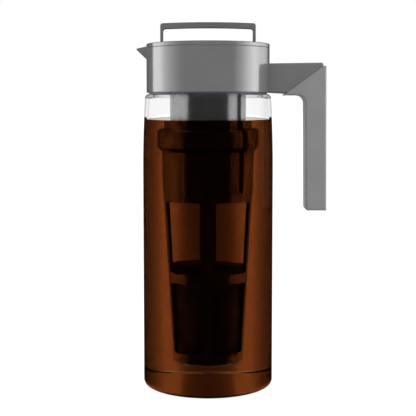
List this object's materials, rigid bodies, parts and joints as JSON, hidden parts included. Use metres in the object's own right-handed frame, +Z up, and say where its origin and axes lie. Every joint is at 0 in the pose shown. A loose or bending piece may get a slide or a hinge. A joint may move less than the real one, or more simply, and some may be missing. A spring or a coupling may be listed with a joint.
{
  "type": "cold brew coffee maker",
  "caption": "Tall clear cold brew pitcher with a grey beaked collar and side handle, a screw-in lid with a folding bail, and a long mesh infuser under the lid.",
  "frame": {"origin": "centre of the flat base, on the pitcher's axis", "axes": "+Z up along the pitcher's axis, +X towards the handle, -X towards the beak"},
  "size_m": [0.155, 0.1066, 0.2979],
  "materials": {
    "clear_plastic": "clear polished copolyester",
    "grey_plastic": "glossy moulded polypropylene",
    "grip_silicone": "soft satin silicone",
    "seal_silicone": "soft matte silicone",
    "dark_plastic": "semi-gloss moulded plastic",
    "mesh_screen": "fine woven nylon screen"
  },
  "bodies": {
    "pitcher": {"pitcher_body": "clear_plastic", "neck_seal": "seal_silicone", "collar": "grey_plastic", "grip_sleeve": "grip_silicone"},
    "lid_seal": {"lid_gasket": "seal_silicone"},
    "lid": {"lid_cap": "grey_plastic", "lid_plug": "grey_plastic", "lid_tube": "dark_plastic"},
    "bail": {"bail": "grey_plastic"},
    "infuser_seal": {"infuser_gasket": "seal_silicone"},
    "infuser": {"infuser_frame": "dark_plastic", "mesh_upper_1": "mesh_screen", "mesh_upper_2": "mesh_screen", "mesh_upper_3": "mesh_screen", "mesh_upper_4": "mesh_screen", "mesh_lower_1": "mesh_screen", "mesh_lower_2": "mesh_screen", "mesh_lower_3": "mesh_screen", "mesh_lower_4": "mesh_screen"}
  },
  "joints": [
    {"name": "lid_lift", "type": "slide", "parent": "pitcher", "child": "lid_seal", "axis": [0, 0, 1], "range_m": [0, 0.27]},
    {"name": "lid_turn", "type": "hinge", "parent": "lid_seal", "child": "lid", "pos_m": [0, 0, 0.277], "axis": [0, 0, 1], "range_deg": [0, 360]},
    {"name": "bail_fold", "type": "hinge", "parent": "lid", "child": "bail", "pos_m": [0, 0, 0.2758], "axis": [1, 0, 0], "range_deg": [-90, 90]},
    {"name": "infuser_drop", "type": "slide", "parent": "lid", "child": "infuser_seal", "axis": [0, 0, -1], "range_m": [0, 0.0076]},
    {"name": "infuser_turn", "type": "hinge", "parent": "infuser_seal", "child": "infuser", "pos_m": [0, 0, 0.218], "axis": [0, 0, -1], "range_deg": [0, 540]}
  ],
  "couplings": [
    {"joint": "infuser_drop", "follows": "infuser_turn", "m_per_rad": 0.00079577}
  ]
}
